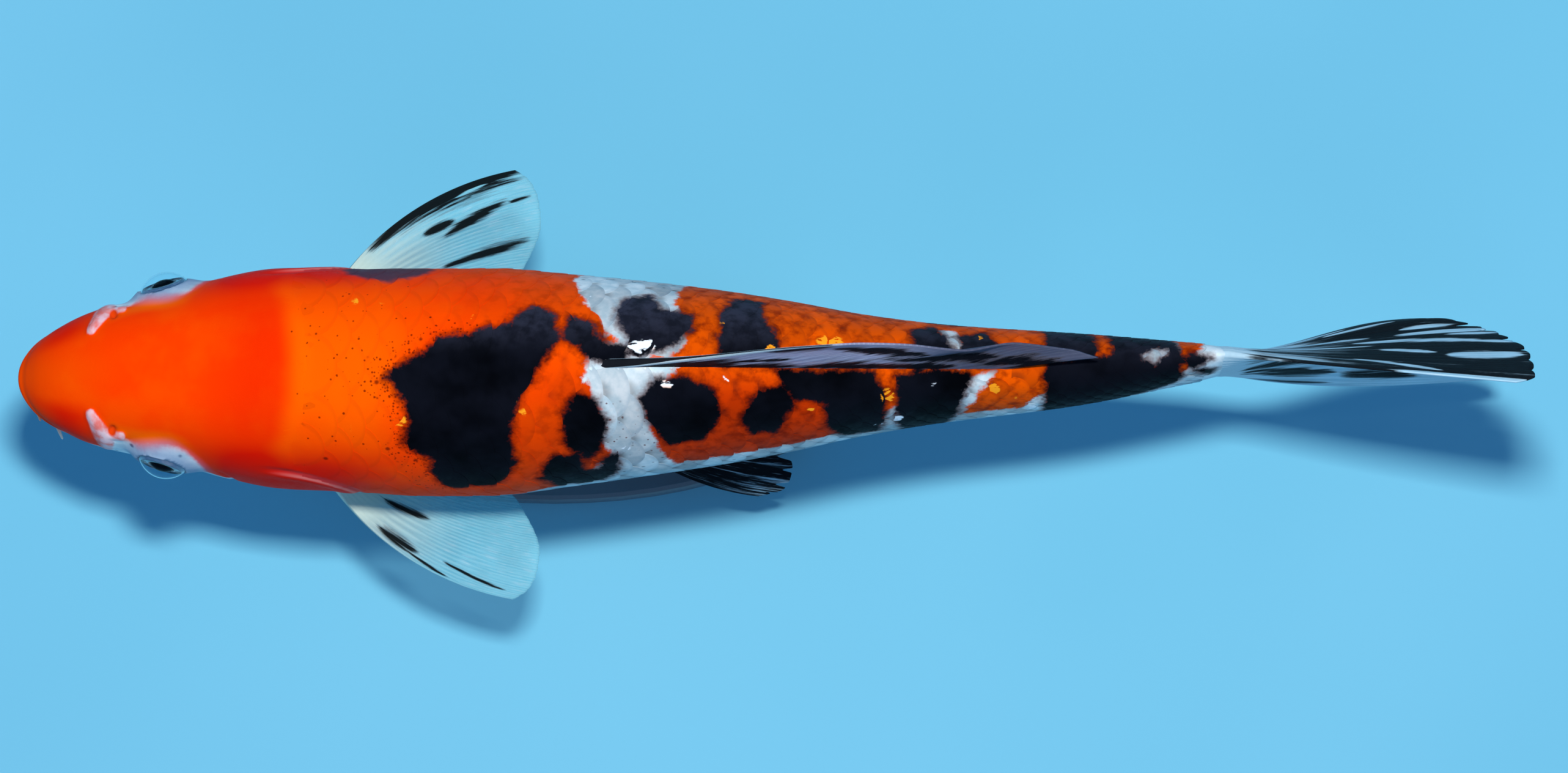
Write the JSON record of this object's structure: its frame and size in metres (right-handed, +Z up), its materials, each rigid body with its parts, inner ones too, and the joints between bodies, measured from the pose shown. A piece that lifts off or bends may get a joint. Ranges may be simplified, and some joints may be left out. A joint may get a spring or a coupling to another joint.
{
  "type": "koi carp display model",
  "caption": "Life-size koi carp, fins spread and dorsal fin folded, held level over a small oval base by short rods.",
  "frame": {"origin": "centre of the stand's underside, on the surface it stands on", "axes": "+X from the head towards the tail, +Y towards the fish's right side, +Z up"},
  "size_m": [0.395, 0.1156, 0.1222],
  "materials": {
    "koi_skin": "wet scaled skin, orange-red with black and white markings",
    "fin_membrane": "thin ribbed fins, pale with black streaks",
    "barbel_skin": "smooth moist feelers",
    "eye_globe": "wet eyeball with a silvery iris and dark pupil",
    "stand_paint": "satin dark grey paint",
    "stand_steel": "brushed rods"
  },
  "bodies": {
    "root": {"head": "koi_skin", "lower_jaw": "koi_skin", "gill_cover_left": "koi_skin", "gill_cover_right": "koi_skin", "trunk_front": "koi_skin", "trunk_rear": "koi_skin", "tail_stalk": "koi_skin", "eye_left": "eye_globe", "eye_right": "eye_globe", "barbel_front_left": "barbel_skin", "barbel_front_right": "barbel_skin", "barbel_rear_left": "barbel_skin", "barbel_rear_right": "barbel_skin", "dorsal_fin": "fin_membrane", "anal_fin": "fin_membrane", "tail_fin_upper": "fin_membrane", "tail_fin_lower": "fin_membrane", "pectoral_fin_left": "fin_membrane", "pectoral_fin_right": "fin_membrane", "pelvic_fin_left": "fin_membrane", "pelvic_fin_right": "fin_membrane", "stand_base": "stand_paint", "stand_rod_front": "stand_steel", "stand_rod_rear": "stand_steel"}
  },
  "joints": []
}
